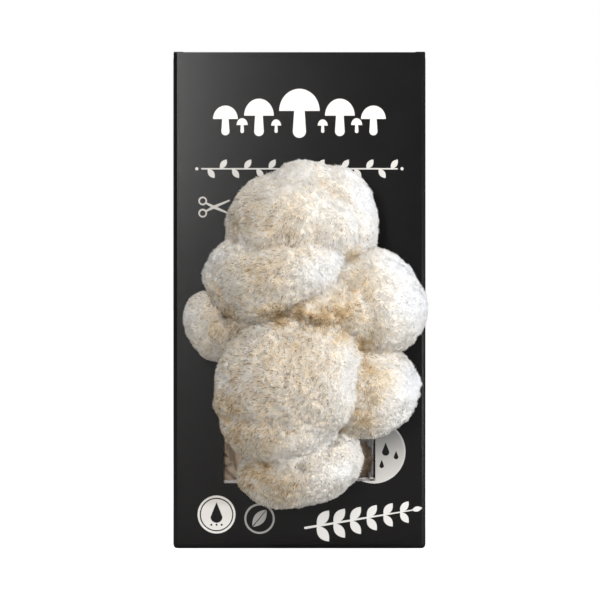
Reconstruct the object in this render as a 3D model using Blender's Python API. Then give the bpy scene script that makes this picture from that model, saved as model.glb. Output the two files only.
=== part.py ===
"""A lion's mane mushroom grow kit: a folded carton with a window in its front, a film bag
with a block of substrate inside it, and the mushroom that has grown out through the window.

Metres, +Z up. The origin is the centre of the carton's underside and the window faces -Y.
"""

import math

import bmesh
import bpy
from mathutils import Matrix, Vector, noise

# Driving dimensions of the carton
CARTON_WIDTH = 0.128
CARTON_DEPTH = 0.125
CARTON_HEIGHT = 0.252
BOARD = 0.0015
FOLD_RADIUS = 0.002
CLEARANCE = 0.0003

# The window that is torn out of the front wall
WINDOW_WIDTH = 0.077
WINDOW_BOTTOM = 0.0331
WINDOW_TOP = 0.152
WINDOW_CORNER = 0.0006
# Its bottom edge is torn a little higher on the right than on the left
WINDOW_SLANT = 0.0013

# The closure at the top
FRONT_EDGE_DROP = 0.0005
DUST_FLAP_LENGTH = 0.046
TUCK_LENGTH = 0.019
TUCK_LEAN = math.radians(6)
TUCK_CORNER = 0.009
TUCK_CLEARANCE = 0.0004
TUCK_FOLD_RADIUS = 0.0022
SLIT_LOCK_WIDTH = 0.005

# The bag and the block in it
FILM = 0.0004
BAG_SIDE_GAP = 0.0009
BAG_CORNER = 0.008
FILM_BULGE = 0.0022
BLOCK_GAP = 0.0005
BLOCK_TOP = 0.203
BLOCK_ROUNDING = 0.006
BLOCK_DENT = 0.0014
BLOCK_DENT_SIZE = 0.024
# The bag above the block closes to a flat seam. Each level: height, how much narrower than
# the bag it is on each side, half its depth, and the radius of its corners
BAG_GATHERS = (
    (0.206, 0.002, 0.056, 0.009),
    (0.214, 0.003, 0.044, 0.009),
    (0.226, 0.004, 0.026, 0.008),
    (0.237, 0.005, 0.013, 0.006),
    (0.2445, 0.007, 0.005, 0.003),
)
BAG_SEAM_SETBACK = 0.004

# The mushroom: how far it stands off the board, and its neck through the slit in the bag
STAND_OFF = 0.0005
NECK_OVERLAP = 0.012
NECK_HALF_WIDTH = 0.026
NECK_HALF_HEIGHT = 0.043
NECK_HEIGHT = 0.104
REMESH_VOXEL = 0.0026
MUSHROOM_TRIANGLE_SHARE = 0.33
BRISTLE_HEIGHT = 0.0022
BRISTLE_DROOP = 0.7

# Each lobe: centre, half sizes and the turn about Y, read as degrees
LOBES = {
    "crown": ((-0.0012, -0.0910, 0.1595), (0.0350, 0.0315, 0.0370), 22),
    "crown_front": ((-0.0050, -0.0970, 0.1620), (0.0300, 0.0325, 0.0282), 8),
    "crown_right": ((0.0130, -0.0970, 0.1590), (0.0205, 0.0295, 0.0190), 20),
    "crown_back": ((0.0150, -0.0870, 0.1660), (0.0242, 0.0285, 0.0272), 0),
    "crown_foot": ((0.0270, -0.0870, 0.1580), (0.0120, 0.0275, 0.0140), 0),
    "shoulder": ((-0.0095, -0.1040, 0.1372), (0.0350, 0.0320, 0.0212), -22),
    "shoulder_bud": ((-0.0265, -0.0990, 0.1375), (0.0212, 0.0265, 0.0198), -10),
    "left_ear": ((-0.0425, -0.0810, 0.1125), (0.0150, 0.0190, 0.0190), -28),
    "ear_bridge": ((-0.0300, -0.0860, 0.1130), (0.0210, 0.0225, 0.0195), 0),
    "heart": ((-0.0055, -0.1080, 0.0855), (0.0368, 0.0350, 0.0325), 0),
    "heart_right": ((0.0070, -0.1062, 0.0885), (0.0250, 0.0345, 0.0280), 0),
    "heart_left": ((-0.0260, -0.1040, 0.0790), (0.0165, 0.0280, 0.0175), 0),
    "heart_skirt": ((-0.0098, -0.1030, 0.0672), (0.0293, 0.0320, 0.0225), 0),
    "right_cheek": ((0.0345, -0.0960, 0.1255), (0.0305, 0.0310, 0.0268), 33),
    "cheek_middle": ((0.0265, -0.0968, 0.1215), (0.0235, 0.0312, 0.0240), 33),
    "cheek_inner": ((0.0158, -0.0985, 0.1192), (0.0272, 0.0330, 0.0238), 15),
    "right_hip": ((0.0300, -0.0880, 0.0835), (0.0300, 0.0275, 0.0265), 18),
    "foot": ((-0.0010, -0.0930, 0.0415), (0.0305, 0.0280, 0.0185), -8),
    "foot_bud": ((0.0150, -0.0890, 0.0470), (0.0170, 0.0220, 0.0170), 0),
    "core": ((-0.0020, -0.0780, 0.1080), (0.0360, 0.0240, 0.0660), 0),
}
LOBE_LUMP = 0.0016
LOBE_LUMP_SIZE = 0.020

FRONT = -CARTON_DEPTH / 2
BACK = CARTON_DEPTH / 2
SIDE = CARTON_WIDTH / 2
# The side and back walls stop under the lid; the front wall hides the edge of the lid.
WALL_TOP = CARTON_HEIGHT - BOARD - CLEARANCE
FRONT_TOP = CARTON_HEIGHT - FRONT_EDGE_DROP
FLOOR_TOP = BOARD + TUCK_CLEARANCE
BAG_INSET = BOARD + BAG_SIDE_GAP
BLOCK_INSET = BAG_INSET + FILM + BLOCK_GAP
# The block's face is cut back flat where the neck starts from it
NECK_ROOT = FRONT + BLOCK_INSET + BLOCK_DENT
BLACK_BOARD = (0.028, 0.026, 0.027, 1)
CLEAR_FILM = (0.62, 0.61, 0.58, 1)
SAWDUST = (0.42, 0.30, 0.19, 1)
CREAM = (0.86, 0.80, 0.68, 1)
# How far a cutter reaches past what it cuts
OVERSHOOT = 0.004


def remove_everything():
    for old in list(bpy.data.objects):
        bpy.data.objects.remove(old)


def add_object(name, mesh_tools):
    """Turns a bmesh into an object of the scene, with its faces pointing out."""
    bmesh.ops.recalc_face_normals(mesh_tools, faces=mesh_tools.faces)
    mesh = bpy.data.meshes.new(name)
    mesh_tools.to_mesh(mesh)
    mesh_tools.free()
    made = bpy.data.objects.new(name, mesh)
    bpy.context.scene.collection.objects.link(made)
    return made


def give_finish(piece, colour, roughness, shade_angle=35):
    """A plain Principled finish, with the round surfaces shaded smooth."""
    material = bpy.data.materials.new(piece.name)
    material.use_nodes = True
    shader = material.node_tree.nodes["Principled BSDF"]
    shader.inputs["Base Color"].default_value = colour
    shader.inputs["Roughness"].default_value = roughness
    piece.data.materials.append(material)
    piece.data.shade_smooth()
    piece.data.set_sharp_from_angle(angle=math.radians(shade_angle))


def block_mesh(low, high):
    """A box between two corners."""
    shape = bmesh.new()
    centre = (Vector(low) + Vector(high)) / 2
    size = Vector(high) - Vector(low)
    place = Matrix.Translation(centre) @ Matrix.Diagonal(size.to_4d())
    bmesh.ops.create_cube(shape, size=1, matrix=place)
    return shape


def extrude_outline(outline, travel):
    """Closes an outline of 3-D points with a face and extrudes it by a vector."""
    shape = bmesh.new()
    corners = [shape.verts.new(point) for point in outline]
    face = shape.faces.new(corners)
    grown = bmesh.ops.extrude_face_region(shape, geom=[face])
    moved = [item for item in grown["geom"] if isinstance(item, bmesh.types.BMVert)]
    bmesh.ops.translate(shape, verts=moved, vec=travel)
    return shape


def arc(centre, radius, start, end, steps):
    """Points of an arc in a plane, from one angle in degrees to another, ends included."""
    points = []
    for step in range(steps + 1):
        angle = math.radians(start + (end - start) * step / steps)
        points.append((centre[0] + radius * math.cos(angle), centre[1] + radius * math.sin(angle)))
    return points


def combine(target, other, operation):
    """Adds a Boolean to the target and hides the other object, which is only a tool then."""
    modifier = target.modifiers.new(other.name, "BOOLEAN")
    modifier.operation = operation
    modifier.solver = "EXACT"
    modifier.object = other
    other.hide_render = True
    other.display_type = "WIRE"


def rounded_rectangle(half_width, half_height, radius, steps):
    """The outline of a rectangle with round corners, anticlockwise from its right side."""
    x, y = half_width - radius, half_height - radius
    points = arc((x, -y), radius, -90, 0, steps)
    points += arc((x, y), radius, 0, 90, steps)
    points += arc((-x, y), radius, 90, 180, steps)
    points += arc((-x, -y), radius, 180, 270, steps)
    return points


def fold_rounding(side_sign):
    """The sliver outside the round fold between a side wall and its dust flap."""
    edge, reach = SIDE, OVERSHOOT
    outline = arc((edge - FOLD_RADIUS, WALL_TOP - FOLD_RADIUS), FOLD_RADIUS, 90, 0, 4)
    outline += [(edge + reach, WALL_TOP - FOLD_RADIUS)]
    outline += [(edge + reach, WALL_TOP + reach)]
    outline += [(edge - FOLD_RADIUS, WALL_TOP + reach)]
    points = [(side_sign * x, FRONT + BOARD, z) for x, z in outline]
    travel = (0, CARTON_DEPTH, 0)
    return add_object("fold_rounding_cutter", extrude_outline(points, travel))


def top_opening_outline():
    """The plan of what the two dust flaps leave open, with their tapered ends."""
    wide, deep = SIDE - BOARD, BACK - BOARD
    tip = wide - DUST_FLAP_LENGTH
    front_gap, front_taper, front_corner = 0.005, 0.003, 0.004
    rear_gap, rear_taper = 0.001, 0.017
    right = [
        (wide, -deep),
        (wide, -deep + front_gap),
        (tip + front_corner, -deep + front_gap + front_taper / 2),
        (tip, -deep + front_gap + front_taper + front_corner / 2),
        (tip, deep - rear_gap - rear_taper),
        (wide, deep - rear_gap),
        (wide, deep),
    ]
    left = [(-x, y) for x, y in reversed(right)]
    return right + left


def make_carton():
    """One folded blank: four walls, the bottom, the two dust flaps and the window."""
    shape = block_mesh((-SIDE, FRONT, 0), (SIDE, BACK, FRONT_TOP))
    folds = []
    for edge in shape.edges:
        first, second = (corner.co for corner in edge.verts)
        upright = abs(first.z - second.z) > CARTON_HEIGHT / 2
        at_bottom = max(first.z, second.z) < CARTON_HEIGHT / 2
        if upright or at_bottom:
            folds.append(edge)
    bmesh.ops.bevel(shape, geom=folds, offset=FOLD_RADIUS, segments=3, profile=0.5, affect="EDGES")
    carton = add_object("carton", shape)

    # The step down behind the front wall, for the lid
    low = (-SIDE - OVERSHOOT, FRONT + BOARD, WALL_TOP)
    high = (SIDE + OVERSHOOT, BACK + OVERSHOOT, CARTON_HEIGHT + OVERSHOOT)
    combine(carton, add_object("lid_step_cutter", block_mesh(low, high)), "DIFFERENCE")

    low = (-SIDE + BOARD, FRONT + BOARD, BOARD)
    high = (SIDE - BOARD, BACK - BOARD, WALL_TOP - BOARD)
    combine(carton, add_object("cavity_cutter", block_mesh(low, high)), "DIFFERENCE")

    plan = [(x, y, WALL_TOP - 2 * BOARD) for x, y in top_opening_outline()]
    opening = extrude_outline(plan, (0, 0, 2 * BOARD + OVERSHOOT))
    combine(carton, add_object("top_opening_cutter", opening), "DIFFERENCE")

    for side_sign in (-1, 1):
        combine(carton, fold_rounding(side_sign), "DIFFERENCE")

    half_height = (WINDOW_TOP - WINDOW_BOTTOM) / 2
    middle = (WINDOW_TOP + WINDOW_BOTTOM) / 2
    outline = rounded_rectangle(WINDOW_WIDTH / 2, half_height, WINDOW_CORNER, 3)
    points = []
    for x, z in outline:
        higher = WINDOW_SLANT * (x / WINDOW_WIDTH + 0.5) if z < 0 else 0
        points.append((x, FRONT - OVERSHOOT, middle + z + higher))
    window = extrude_outline(points, (0, BOARD + 2 * OVERSHOOT, 0))
    combine(carton, add_object("window_cutter", window), "DIFFERENCE")

    # The free edge of the bottom's outer flap shows as a shallow step near the front
    seam_width, seam_depth, seam_inset = 0.0006, 0.0005, 0.014
    low = (-SIDE + seam_inset / 3, FRONT + seam_inset, -OVERSHOOT)
    high = (SIDE - seam_inset / 3, FRONT + seam_inset + seam_width, seam_depth)
    combine(carton, add_object("bottom_seam_cutter", block_mesh(low, high)), "DIFFERENCE")
    give_finish(carton, BLACK_BOARD, 0.45)


def tuck_flap():
    """The lid's front fold and the flap that tucks in behind the front wall."""
    radius, inner = TUCK_FOLD_RADIUS, TUCK_FOLD_RADIUS - BOARD
    outer_y = FRONT + BOARD + TUCK_CLEARANCE
    centre = (outer_y + radius, CARTON_HEIGHT - radius)
    overlap = 0.003
    lean = Vector((math.sin(TUCK_LEAN), -math.cos(TUCK_LEAN))) * TUCK_LENGTH
    outside = arc(centre, radius, 90, 180, 4)
    inside = arc(centre, inner, 180, 90, 3)
    outside_end = (outside[-1][0] + lean.x, outside[-1][1] + lean.y)
    inside_end = (inside[0][0] + lean.x, inside[0][1] + lean.y)
    profile = [(centre[0] + overlap, CARTON_HEIGHT)] + outside + [outside_end, inside_end]
    profile += inside + [(centre[0] + overlap, CARTON_HEIGHT - BOARD)]
    half_width = SIDE - CLEARANCE - SLIT_LOCK_WIDTH
    points = [(-half_width, y, z) for y, z in profile]
    shape = extrude_outline(points, (2 * half_width, 0, 0))
    ends = []
    for edge in shape.edges:
        first, second = (corner.co for corner in edge.verts)
        at_bottom = max(first.z, second.z) < CARTON_HEIGHT - TUCK_LENGTH
        if at_bottom and abs(first.x - second.x) < CLEARANCE:
            ends.append(edge)
    bmesh.ops.bevel(shape, geom=ends, offset=TUCK_CORNER, segments=4, profile=0.5, affect="EDGES")
    return add_object("tuck_flap_part", shape)


def make_lid():
    """The closure panel, hinged on the crease along the back, with its tuck flap."""
    under, top = CARTON_HEIGHT - BOARD, CARTON_HEIGHT
    crease = (BACK - BOARD / 2, CARTON_HEIGHT - BOARD / 2)
    front_y = FRONT + BOARD + TUCK_CLEARANCE
    profile = [(front_y, under)] + arc(crease, BOARD / 2, -90, 90, 4) + [(front_y, top)]
    half_width = SIDE - CLEARANCE
    points = [(-half_width, y, z) for y, z in profile]
    lid = add_object("carton_lid", extrude_outline(points, (2 * half_width, 0, 0)))

    # The slit locks: the panel's two front ends stay flat where the fold between them rolls down
    notch_half = half_width - SLIT_LOCK_WIDTH + CLEARANCE
    low = (-notch_half, front_y - OVERSHOOT, under - OVERSHOOT)
    high = (notch_half, front_y + TUCK_FOLD_RADIUS, top + OVERSHOOT)
    combine(lid, add_object("slit_lock_cutter", block_mesh(low, high)), "DIFFERENCE")
    combine(lid, tuck_flap(), "UNION")
    give_finish(lid, BLACK_BOARD, 0.45)

    # Its origin lies on the crease that it turns about
    hinge = Vector((0, *crease))
    lid.data.transform(Matrix.Translation(-hinge))
    lid.location = hinge


def section(half_width, half_depth, radius, across, push=None):
    """One level of the bag or the block: a rectangle with round corners, seen from above.

    The front side has a point at each x in across; push says how far each of them stands out.
    """
    x, y = half_width - radius, half_depth - radius
    ring = [(place, -half_depth - (push(place) if push else 0)) for place in across]
    ring += arc((x, -y), radius, -90, 0, 3)
    ring += [(half_width, side_y) for side_y in (-y / 3, y / 3)]
    ring += arc((x, y), radius, 0, 90, 3)
    ring += [(back_x, half_depth) for back_x in (x / 3, -x / 3)]
    ring += arc((-x, y), radius, 90, 180, 3)
    ring += [(-half_width, side_y) for side_y in (y / 3, -y / 3)]
    ring += arc((-x, -y), radius, 180, 270, 3)
    return ring


def loft(levels):
    """A closed skin through rings of the same count of points, with a cap at each end."""
    shape = bmesh.new()
    rings = []
    for height, ring in levels:
        rings.append([shape.verts.new((x, y, height)) for x, y in ring])
    for lower, upper in zip(rings, rings[1:]):
        count = len(lower)
        for place in range(count):
            after = (place + 1) % count
            shape.faces.new((lower[place], lower[after], upper[after], upper[place]))
    shape.faces.new(list(reversed(rings[0])))
    shape.faces.new(rings[-1])
    return shape


def neck_prism(name, extra, near, far):
    """The oval column of the mushroom's neck, or the slit around it when extra is added."""
    outline = []
    for across, up in arc((0, 0), 1, 0, 345, 23):
        x = across * (NECK_HALF_WIDTH + extra)
        z = NECK_HEIGHT + up * (NECK_HALF_HEIGHT + extra)
        outline.append((x, near, z))
    return add_object(name, extrude_outline(outline, (0, far - near, 0)))


def make_bag():
    """The film bag: it fills the carton, swells into the window and is gathered at the top."""
    half_width, half_depth = SIDE - BAG_INSET, BACK - BAG_INSET
    edge, sill = WINDOW_WIDTH / 2, WINDOW_BOTTOM + WINDOW_SLANT
    hem, swell, rounding, beside = 0.0004, 0.0014, 0.003, 0.008
    # Levels between the window's ends, which keep the film's faces short, and one above it
    between, above = [0.070, 0.105, 0.140], BAG_GATHERS[0][0] - 0.010
    right_half = [edge / 2, edge - swell, edge - hem, edge + beside]
    across = [-x for x in reversed(right_half)] + [0] + right_half

    def push_at(height):
        """How far the film stands out of the window, at each place across this height."""
        inside = sill + swell <= height <= WINDOW_TOP - swell

        def push(x):
            return FILM_BULGE if inside and abs(x) <= edge - swell else 0

        return push

    foot = section(half_width - rounding, half_depth - rounding, BAG_CORNER, across)
    levels = [(FLOOR_TOP, foot)]
    heights = [FLOOR_TOP + rounding, sill + hem, sill + swell]
    heights += between + [WINDOW_TOP - swell, WINDOW_TOP - hem, above]
    for height in heights:
        levels.append((height, section(half_width, half_depth, BAG_CORNER, across, push_at(height))))
    for height, narrower, depth, corner in BAG_GATHERS:
        behind = BAG_SEAM_SETBACK * (half_depth - depth) / half_depth
        ring = section(half_width - narrower, depth, corner, across)
        levels.append((height, [(x, y + behind) for x, y in ring]))
    bag = add_object("grow_bag", loft(levels))

    skin = bag.modifiers.new("film", "SOLIDIFY")
    skin.thickness = FILM
    skin.offset = -1
    slit = neck_prism("slit_cutter", 2 * CLEARANCE, FRONT - OVERSHOOT, FRONT + 2 * OVERSHOOT)
    combine(bag, slit, "DIFFERENCE")
    give_finish(bag, CLEAR_FILM, 0.2)


def make_block():
    """The pressed block of sawdust, with slightly uneven faces, in the bag."""
    half_width, half_depth = SIDE - BLOCK_INSET, BACK - BLOCK_INSET
    floor = FLOOR_TOP + FILM + BLOCK_GAP
    straight = half_width - BLOCK_ROUNDING - BAG_CORNER
    across = [straight * share for share in (-1, -0.5, 0, 0.5, 1)]
    lowest, highest = floor + BLOCK_ROUNDING, BLOCK_TOP - BLOCK_ROUNDING
    steps = 8
    body = [lowest + (highest - lowest) * step / steps for step in range(steps + 1)]
    levels = []
    for height in [floor] + body + [BLOCK_TOP]:
        narrower = 0 if height in body else BLOCK_ROUNDING
        ring = []
        for x, y in section(half_width - narrower, half_depth - narrower, BAG_CORNER, across):
            unevenness = noise.noise(Vector((x, y, height)) / BLOCK_DENT_SIZE)
            shrink = 1 - BLOCK_DENT * (1 + unevenness) / 2 / half_width
            ring.append((x * shrink, y * shrink))
        levels.append((height, ring))
    block = add_object("substrate_block", loft(levels))
    seat = neck_prism("root_seat_cutter", CLEARANCE, FRONT, NECK_ROOT)
    combine(block, seat, "DIFFERENCE")
    give_finish(block, SAWDUST, 0.9)


def add_lobe(shape, centre, radii, turn):
    """One rounded lobe, a little uneven, added to the mushroom's skin."""
    ball = bmesh.ops.create_icosphere(shape, subdivisions=4, radius=1)
    place = Matrix.Translation(centre) @ Matrix.Rotation(math.radians(turn), 4, "Y")
    skin = Vector(radii) - Vector((1, 1, 1)) * BRISTLE_HEIGHT / 2
    place = place @ Matrix.Diagonal(skin.to_4d())
    for corner in ball["verts"]:
        outward = corner.co.copy()
        corner.co = place @ corner.co
        lump = noise.noise(corner.co / LOBE_LUMP_SIZE)
        corner.co += outward * lump * LOBE_LUMP


def keep_shaped_mesh(piece):
    """Takes the mesh that the modifiers give, to work it further."""
    viewed = bpy.context.evaluated_depsgraph_get()
    shaped = bpy.data.meshes.new_from_object(piece.evaluated_get(viewed))
    piece.modifiers.clear()
    piece.data = shaped


def raise_bristles(piece):
    """Draws corners that don't neighbour each other out to blunt, drooping spines.

    The hollows between lobes have none, because the spines of both sides would cross there.
    """
    shape = bmesh.new()
    shape.from_mesh(piece.data)
    tips = set()
    for corner in shape.verts:
        around = [edge.other_vert(corner) for edge in corner.link_edges]
        middle = sum((other.co for other in around), Vector()) / len(around)
        in_hollow = (middle - corner.co).dot(corner.normal) > 0
        if not in_hollow and tips.isdisjoint(around):
            tips.add(corner)
    tips = sorted(tips, key=lambda corner: corner.index)
    leans = [(corner.normal - Vector((0, 0, BRISTLE_DROOP))).normalized() for corner in tips]
    for corner, lean in zip(tips, leans):
        corner.co += lean * BRISTLE_HEIGHT
    shape.to_mesh(piece.data)
    shape.free()


def make_mushroom():
    """The fruit body: lobes grown together in one piece, cut flat where they press the board."""
    shape = bmesh.new()
    for centre, radii, turn in LOBES.values():
        add_lobe(shape, centre, radii, turn)
    mushroom = add_object("lions_mane", shape)

    fused = mushroom.modifiers.new("fused_lobes", "REMESH")
    fused.mode = "VOXEL"
    fused.voxel_size = REMESH_VOXEL
    # A fine grain all over makes the coarse mesh as even on the broad lobes as at their edges
    grain = bpy.data.textures.new("bristle_grain", "CLOUDS")
    grain.noise_scale = 2 * REMESH_VOXEL
    ruffled = mushroom.modifiers.new("ruffled", "DISPLACE")
    ruffled.texture = grain
    ruffled.texture_coords = "LOCAL"
    ruffled.strength = BRISTLE_HEIGHT
    coarse = mushroom.modifiers.new("coarse", "DECIMATE")
    coarse.ratio = MUSHROOM_TRIANGLE_SHARE
    coarse.use_collapse_triangulate = True

    keep_shaped_mesh(mushroom)
    raise_bristles(mushroom)

    low = (-SIDE * 2, FRONT - STAND_OFF, -OVERSHOOT)
    high = (SIDE * 2, BACK, CARTON_HEIGHT)
    combine(mushroom, add_object("board_cutter", block_mesh(low, high)), "DIFFERENCE")
    column = neck_prism("neck_part", 0, FRONT - STAND_OFF - NECK_OVERLAP, NECK_ROOT - CLEARANCE)
    combine(mushroom, column, "UNION")
    give_finish(mushroom, CREAM, 0.85, shade_angle=60)


remove_everything()
make_carton()
make_lid()
make_bag()
make_block()
make_mushroom()
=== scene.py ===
"""The finish of a lion's mane grow kit: black printed carton, film bag, sawdust and mushroom."""

import math

import bmesh
import bpy
import numpy as np
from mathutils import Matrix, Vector


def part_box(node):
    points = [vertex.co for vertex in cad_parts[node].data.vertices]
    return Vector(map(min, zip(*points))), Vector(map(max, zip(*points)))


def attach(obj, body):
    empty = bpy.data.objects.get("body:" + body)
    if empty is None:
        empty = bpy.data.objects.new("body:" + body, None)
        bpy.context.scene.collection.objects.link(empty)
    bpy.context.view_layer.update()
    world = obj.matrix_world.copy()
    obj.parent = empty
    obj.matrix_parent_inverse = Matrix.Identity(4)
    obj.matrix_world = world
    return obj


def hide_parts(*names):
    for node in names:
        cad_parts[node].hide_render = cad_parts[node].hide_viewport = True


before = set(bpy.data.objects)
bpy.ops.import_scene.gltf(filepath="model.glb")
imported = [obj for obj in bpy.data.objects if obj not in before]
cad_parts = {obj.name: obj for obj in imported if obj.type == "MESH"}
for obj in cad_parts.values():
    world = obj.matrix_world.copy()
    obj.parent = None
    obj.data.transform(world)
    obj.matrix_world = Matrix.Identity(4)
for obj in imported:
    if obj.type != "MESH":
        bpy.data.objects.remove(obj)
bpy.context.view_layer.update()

# The stand, the camera and the lamps. A soft lamp on the left gives the black board its
# sheen, and a stronger one on the right models the mushroom.
carton_low, carton_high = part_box("carton")
CARTON_WIDTH = carton_high.x - carton_low.x
CARTON_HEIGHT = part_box("carton_lid")[1].z
FRONT = carton_low.y
BACK = carton_high.y
SIDE = CARTON_WIDTH / 2
CAMERA_DISTANCE = 1.3
CAMERA_ASIDE = 0.0003
# The carton is 252.6 of the photograph's 600 pixels wide
VIEW_WIDTH = CARTON_WIDTH * 600 / 252.6
SENSOR = 36
MUSHROOM_MIDDLE = (0.0, -0.09, 0.11)
SHEEN_TINT = (1.0, 0.985, 0.975)
ROOM_TINT = (1.0, 0.975, 0.95, 1)
ROOM_STRENGTH = 0.36
FLOOR_DIM = (0.74, 0.735, 0.725, 1)
FLOOR_PALE = (0.78, 0.775, 0.765, 1)
FLOOR_GLOW = 0.88


def deselect_everything():
    if bpy.context.mode != "OBJECT":
        bpy.ops.object.mode_set(mode="OBJECT")
    bpy.ops.object.select_all(action="DESELECT")


bpy.ops.object.camera_add(
    location=(CAMERA_ASIDE, FRONT - CAMERA_DISTANCE, CARTON_HEIGHT / 2), rotation=(math.pi / 2, 0, 0)
)
camera = bpy.context.object
camera.data.sensor_width = SENSOR
camera.data.lens = SENSOR * CAMERA_DISTANCE / VIEW_WIDTH
bpy.context.scene.camera = camera


def hang_softbox(name, place, aim, width, height, power, colour):
    """A rectangular soft lamp at a place, turned to face a point."""
    bpy.ops.object.light_add(type="AREA", location=place)
    lamp = bpy.context.object
    lamp.name = name
    lamp.rotation_euler = (Vector(aim) - Vector(place)).to_track_quat("-Z", "Y").to_euler()
    lamp.data.shape = "RECTANGLE"
    lamp.data.size, lamp.data.size_y = width, height
    lamp.data.energy = power
    lamp.data.color = colour


hang_softbox("key_lamp", (1.15, -0.85, 0.44), MUSHROOM_MIDDLE, 0.46, 0.46, 10.6, (0.94, 0.975, 1.03))
hang_softbox("sheen_lamp", (-0.26, -1.54, 0.40), (-0.02, -0.07, 0.14), 0.16, 0.38, 5.3, SHEEN_TINT)
hang_softbox("low_sheen_lamp", (-0.27, -1.54, 0.07), (-0.02, -0.07, 0.10), 0.16, 0.12, 0.5, SHEEN_TINT)
hang_softbox("fill_lamp", (-0.45, -0.85, 1.00), MUSHROOM_MIDDLE, 0.2, 0.2, 4.0, (1.0, 0.955, 0.89))
hang_softbox("low_lamp", (0.90, -0.90, 0.04), MUSHROOM_MIDDLE, 0.3, 0.06, 4.4, (1.0, 0.98, 0.96))
hang_softbox("top_lamp", (0.05, -0.45, 1.2), (0.0, -0.05, 0.1), 0.6, 0.4, 3.2, (1.0, 1.0, 1.0))

room = bpy.data.worlds.new("pale_room")
room.use_nodes = True
room_tree = room.node_tree
seen = room_tree.nodes.new("ShaderNodeBackground")
seen.inputs["Color"].default_value = (1, 1, 1, 1)
seen.inputs["Strength"].default_value = 1.0
lighting = room_tree.nodes["Background"]
lighting.inputs["Color"].default_value = ROOM_TINT
lighting.inputs["Strength"].default_value = ROOM_STRENGTH
which_ray = room_tree.nodes.new("ShaderNodeLightPath")
choose = room_tree.nodes.new("ShaderNodeMixShader")
room_tree.links.new(which_ray.outputs["Is Camera Ray"], choose.inputs[0])
room_tree.links.new(lighting.outputs[0], choose.inputs[1])
room_tree.links.new(seen.outputs[0], choose.inputs[2])
room_tree.links.new(choose.outputs[0], room_tree.nodes["World Output"].inputs["Surface"])
bpy.context.scene.world = room
bpy.context.scene.view_settings.view_transform = "Standard"


def put(tree, kind, feeds=None, **settings):
    """Adds a shader node. A feed is a number, a colour or another node's output."""
    made = tree.nodes.new("ShaderNode" + kind)
    for setting, value in settings.items():
        setattr(made, setting, value)
    for socket, value in (feeds or {}).items():
        if isinstance(value, bpy.types.NodeSocket):
            tree.links.new(value, made.inputs[socket])
        else:
            made.inputs[socket].default_value = value
    return made


def calc(tree, operation, *values):
    """A Math node on up to three numbers or outputs."""
    return put(tree, "Math", dict(enumerate(values)), operation=operation).outputs[0]


def tint(tree, share, under, over):
    """Mixes two colours by a share."""
    mixer = put(tree, "Mix", data_type="RGBA")
    for socket, value in ((0, share), (6, under), (7, over)):
        if isinstance(value, bpy.types.NodeSocket):
            tree.links.new(value, mixer.inputs[socket])
        else:
            mixer.inputs[socket].default_value = value
    return mixer.outputs[2]


def noise(tree, place, scale, detail=2.0, **feeds):
    """Soft random values around a half."""
    feeds = {"Vector": place, "Scale": scale, "Detail": detail, **feeds}
    return put(tree, "TexNoise", feeds).outputs[0]


def new_finish(name, **constants):
    """A material with its constant values on the shader's own sockets."""
    finish = bpy.data.materials.new(name)
    finish.use_nodes = True
    shader = finish.node_tree.nodes["Principled BSDF"]
    for socket, value in constants.items():
        shader.inputs[socket.replace("_", " ")].default_value = value
    return finish, finish.node_tree, shader


bpy.ops.mesh.primitive_plane_add(size=60, location=(0, 0, 0))
floor = bpy.context.object
floor.name = "floor"
floor_finish, tree, shader = new_finish("pale_floor", Roughness=0.7, Specular_IOR_Level=0.0)
mottle = noise(tree, put(tree, "TexCoord").outputs["Object"], 3.0)
tree.links.new(tint(tree, mottle, FLOOR_DIM, FLOOR_PALE), shader.inputs["Base Color"])
seen_straight = put(tree, "LightPath").outputs["Is Camera Ray"]
shader.inputs["Emission Color"].default_value = (1, 1, 1, 1)
tree.links.new(calc(tree, "MULTIPLY", seen_straight, FLOOR_GLOW), shader.inputs["Emission Strength"])
floor.data.materials.append(floor_finish)
deselect_everything()

# The carton: one blank of E-flute board, black and satin-coated outside, brown inside, folded
# round the block. The front is printed: small mushrooms, a vine, shears, a pale disc, badges
# and a sprig, all of them flat ink in the coating.
BOARD = 0.0015
WALL_TOP = CARTON_HEIGHT - BOARD - 0.0003
SKIN_DEPTH = 0.0003
SKIN_ROUND = 0.002
COATING = (0.0028, 0.0024, 0.0026, 1)
KRAFT = (0.36, 0.235, 0.135, 1)
KRAFT_LIGHT = (0.50, 0.36, 0.23, 1)
FLUTE_HOLLOW_SHADE = (0.10, 0.058, 0.030, 1)
FLUTE_PITCH = 0.0031
INK_WHITE = (0.76, 0.745, 0.72, 1)
INK_PALE = (0.62, 0.60, 0.57, 1)
INK_GREY = (0.30, 0.295, 0.285, 1)
SILVER_DARK = (0.19, 0.184, 0.178, 1)
SILVER_LIGHT = (0.60, 0.58, 0.55, 1)
SILVER_RIM = (0.66, 0.65, 0.63, 1)
INK_EDGE = 0.00009


def remap(tree, value, low, high, to_low=0.0, to_high=1.0):
    """Stretches a range of values to another one, and clamps it there."""
    feeds = {0: value, 1: low, 2: high, 3: to_low, 4: to_high}
    return put(tree, "MapRange", feeds).outputs[0]


def vector_calc(tree, operation, *values):
    """A Vector Math node on one or two vectors or outputs."""
    return put(tree, "VectorMath", dict(enumerate(values)), operation=operation).outputs[0]


def length_of(tree, vector):
    return put(tree, "VectorMath", {0: vector}, operation="LENGTH").outputs["Value"]


def dot(tree, first, second):
    return put(tree, "VectorMath", {0: first, 1: second}, operation="DOT_PRODUCT").outputs["Value"]


def raise_relief(tree, shader, height, strength, distance):
    """A relief too fine for the mesh."""
    bump = put(tree, "Bump", {"Strength": strength, "Distance": distance, "Height": height})
    tree.links.new(bump.outputs[0], shader.inputs["Normal"])


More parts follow.
